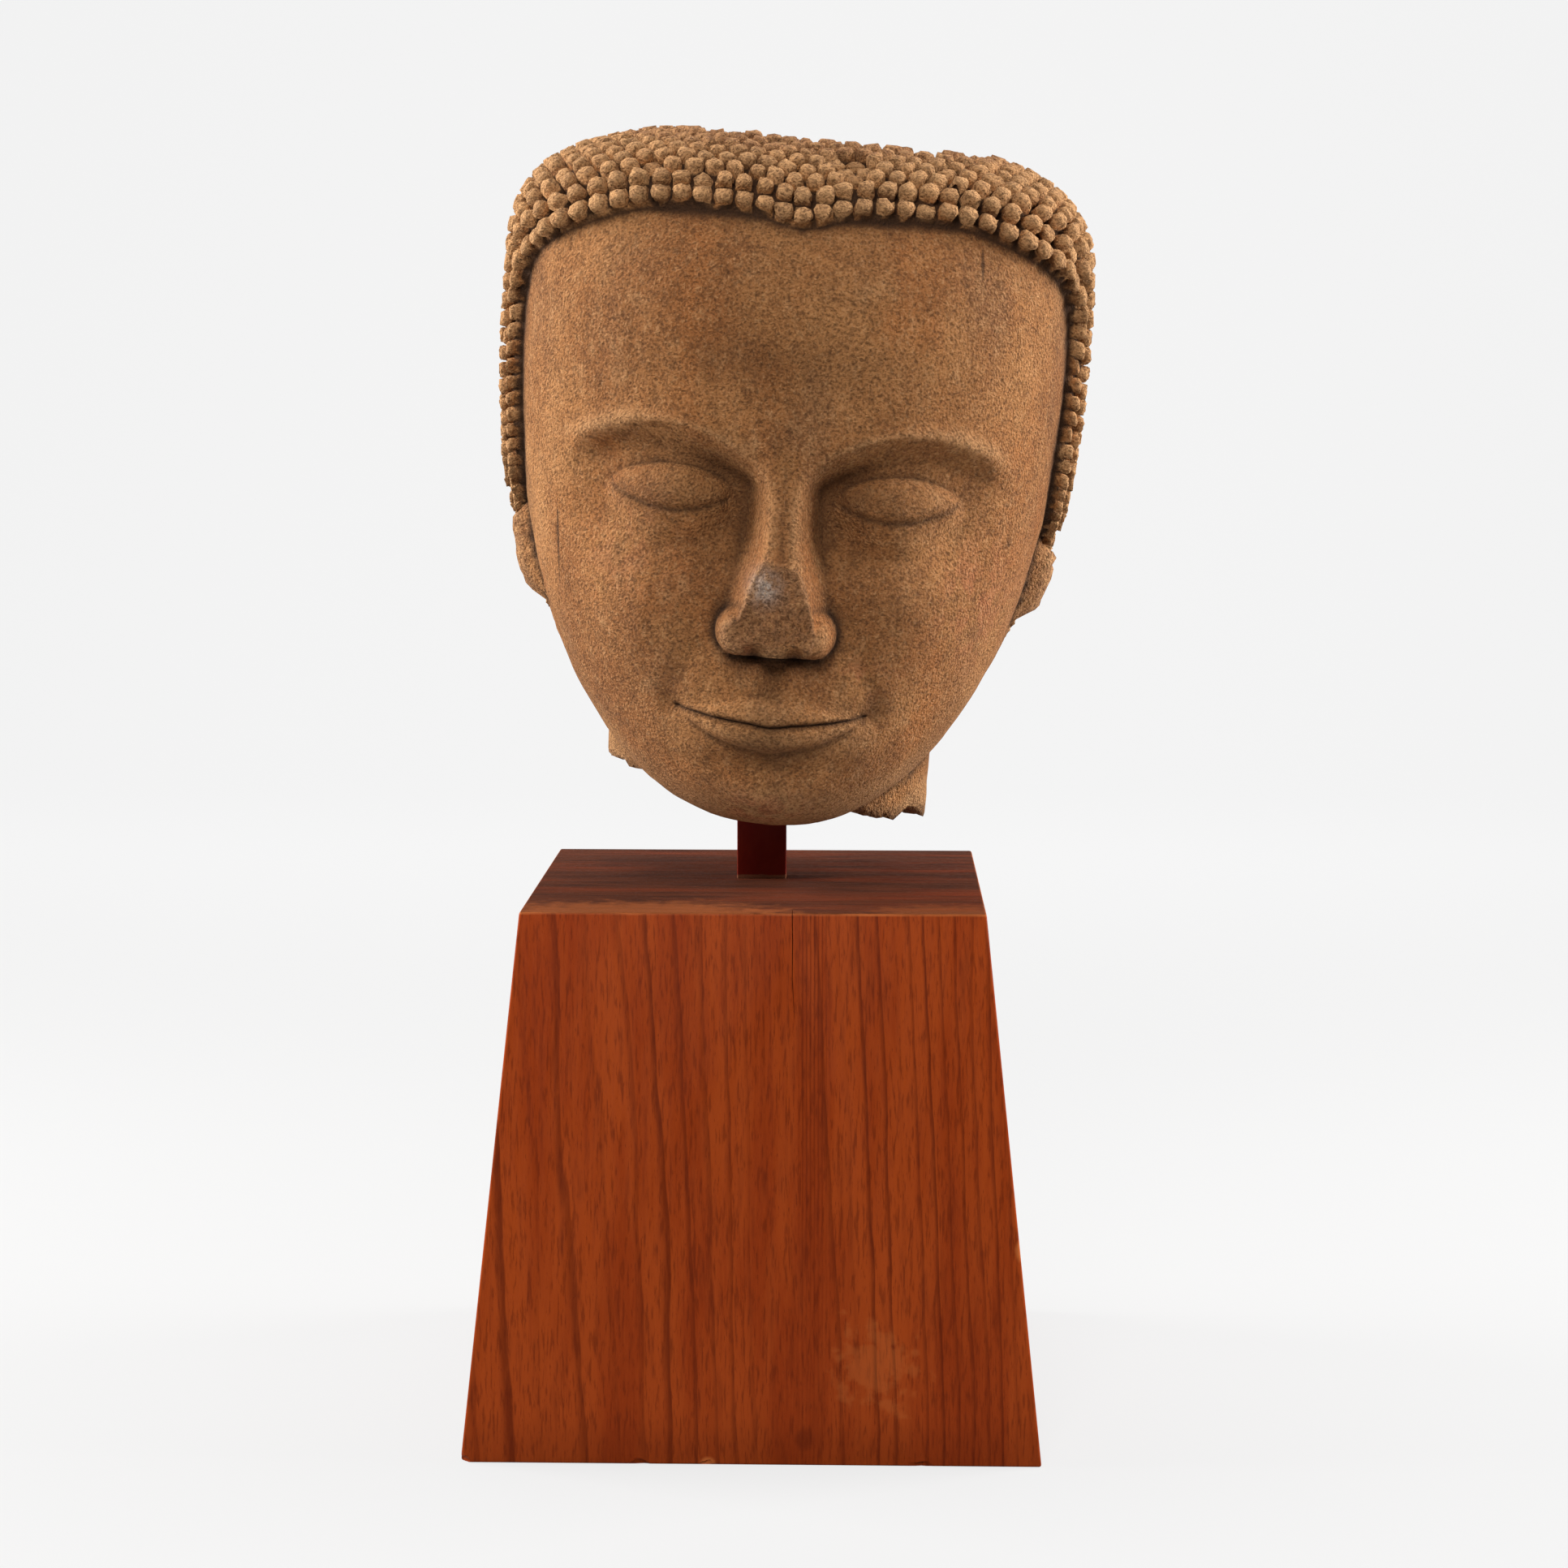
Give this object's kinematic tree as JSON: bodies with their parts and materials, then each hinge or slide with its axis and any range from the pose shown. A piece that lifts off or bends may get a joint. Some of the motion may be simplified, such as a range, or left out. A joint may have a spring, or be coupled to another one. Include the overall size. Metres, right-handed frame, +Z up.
{
  "type": "sandstone buddha head on stand",
  "caption": "Carved sandstone head with rows of tight curls and downcast eyes, broken at nose, ears and neck, held by a steel post on a tapered wooden plinth.",
  "frame": {"origin": "centre of the plinth's underside, on the surface that it stands on", "axes": "+Z up, -Y towards the viewer, the way that the face looks, +X to the viewer's right"},
  "size_m": [0.3116, 0.2941, 0.6527],
  "materials": {
    "sandstone": "matte",
    "painted_steel": "satin",
    "wood": "satin"
  },
  "bodies": {
    "root": {"stone_head": "sandstone", "mounting_post": "painted_steel", "wooden_plinth": "wood"}
  },
  "joints": []
}
